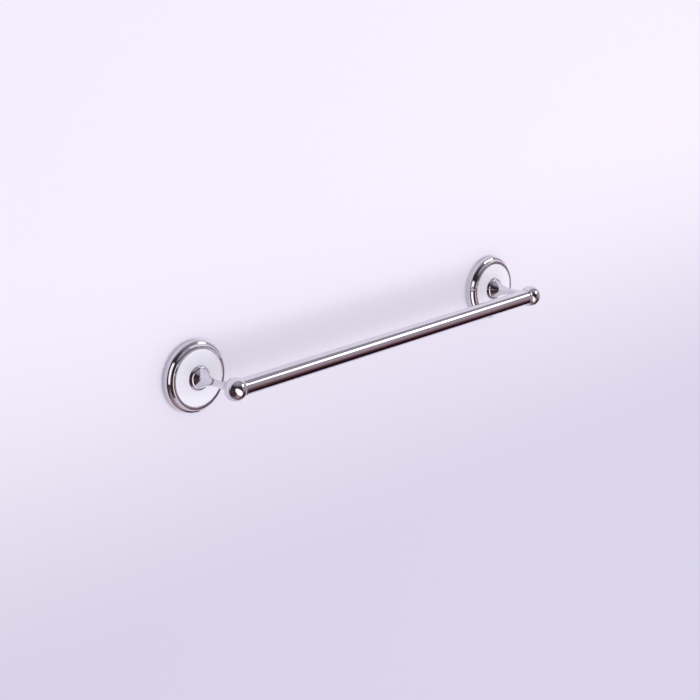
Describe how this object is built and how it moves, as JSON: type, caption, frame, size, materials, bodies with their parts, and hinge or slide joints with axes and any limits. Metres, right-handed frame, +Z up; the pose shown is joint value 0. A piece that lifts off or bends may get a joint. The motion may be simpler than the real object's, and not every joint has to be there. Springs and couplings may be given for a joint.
{
  "type": "suction grab bar",
  "caption": "Chromed straight bar on ball-ended posts, each on a round twist-lock suction mount with a white face disc.",
  "frame": {"origin": "on the wall, midway between the centres of the two suction mounts", "axes": "+X along the bar, to the right seen from the front, +Y into the wall, +Z up"},
  "size_m": [0.532, 0.079, 0.075],
  "materials": {
    "chrome": "mirror bright plating",
    "white_face": "smooth white gloss",
    "clear_vinyl": "soft clear vinyl",
    "grey_plastic": "moulded, matt",
    "acetal": "moulded, waxy",
    "steel": "zinc plated"
  },
  "bodies": {
    "root": {"bar": "chrome", "left_ball_end": "chrome", "right_ball_end": "chrome", "left_grub_screw": "steel", "right_grub_screw": "steel", "left_ball_stud": "steel", "right_ball_stud": "steel", "left_post": "chrome", "right_post": "chrome", "left_post_collar": "chrome", "right_post_collar": "chrome", "left_post_screw": "steel", "right_post_screw": "steel", "left_face_disc": "white_face", "right_face_disc": "white_face", "left_pressure_dish": "grey_plastic", "right_pressure_dish": "grey_plastic", "left_suction_cup": "clear_vinyl", "right_suction_cup": "clear_vinyl"},
    "left_lock": {"left_lock_ring": "chrome", "left_cam_ring": "acetal"},
    "left_draw": {"left_draw_stem": "steel", "left_cross_pin": "steel"},
    "right_lock": {"right_lock_ring": "chrome", "right_cam_ring": "acetal"},
    "right_draw": {"right_draw_stem": "steel", "right_cross_pin": "steel"}
  },
  "joints": [
    {"name": "left_lock_turn", "type": "hinge", "parent": "root", "child": "left_lock", "pos_m": [-0.2285, 0, 0], "axis": [0, -1, 0], "range_deg": [0, 75]},
    {"name": "left_draw_slide", "type": "slide", "parent": "root", "child": "left_draw", "axis": [0, 1, 0], "range_m": [0, 0.0025], "deforming": ["left_suction_cup"]},
    {"name": "right_lock_turn", "type": "hinge", "parent": "root", "child": "right_lock", "pos_m": [0.2285, 0, 0], "axis": [0, -1, 0], "range_deg": [0, 75]},
    {"name": "right_draw_slide", "type": "slide", "parent": "root", "child": "right_draw", "axis": [0, 1, 0], "range_m": [0, 0.0025], "deforming": ["right_suction_cup"]}
  ],
  "couplings": [
    {"joint": "left_draw_slide", "follows": "left_lock_turn", "m_per_rad": 0.0019099},
    {"joint": "right_draw_slide", "follows": "right_lock_turn", "m_per_rad": 0.0019099}
  ]
}
